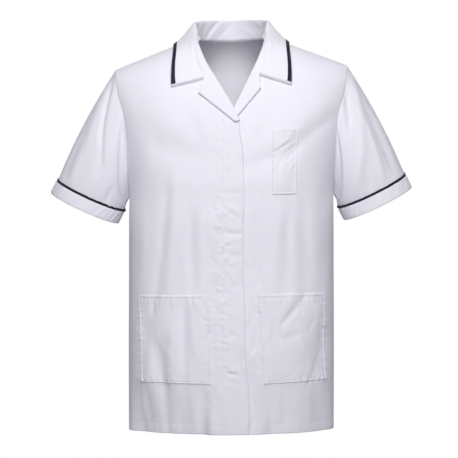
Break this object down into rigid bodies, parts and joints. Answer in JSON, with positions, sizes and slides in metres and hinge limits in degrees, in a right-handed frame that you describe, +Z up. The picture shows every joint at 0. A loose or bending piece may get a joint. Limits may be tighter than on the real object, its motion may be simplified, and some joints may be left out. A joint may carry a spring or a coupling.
{
  "type": "medical tunic",
  "caption": "Short-sleeved medical tunic in its worn form: revere collar with dark braid, concealed fly front, patch pockets, piped cuffs, open neck and hem.",
  "frame": {"origin": "between the shoulder seams at the side of the neck, where the wearer's shoulders carry it", "axes": "+Z up from hem to neck, +X towards the wearer's left sleeve, -Y towards the front"},
  "size_m": [0.684, 0.2679, 0.7806],
  "materials": {
    "white_polycotton": "plain-woven white polycotton, matt",
    "navy_braid": "dark navy woven braid, matt"
  },
  "bodies": {
    "root": {"back": "white_polycotton", "right_front": "white_polycotton", "left_front": "white_polycotton", "right_lapel": "white_polycotton", "left_lapel": "white_polycotton", "collar": "white_polycotton", "collar_stripe": "navy_braid", "right_sleeve": "white_polycotton", "left_sleeve": "white_polycotton", "right_cuff": "white_polycotton", "left_cuff": "white_polycotton", "right_cuff_piping": "navy_braid", "left_cuff_piping": "navy_braid", "right_hip_pocket": "white_polycotton", "left_hip_pocket": "white_polycotton", "pen_pocket": "white_polycotton"}
  },
  "joints": []
}
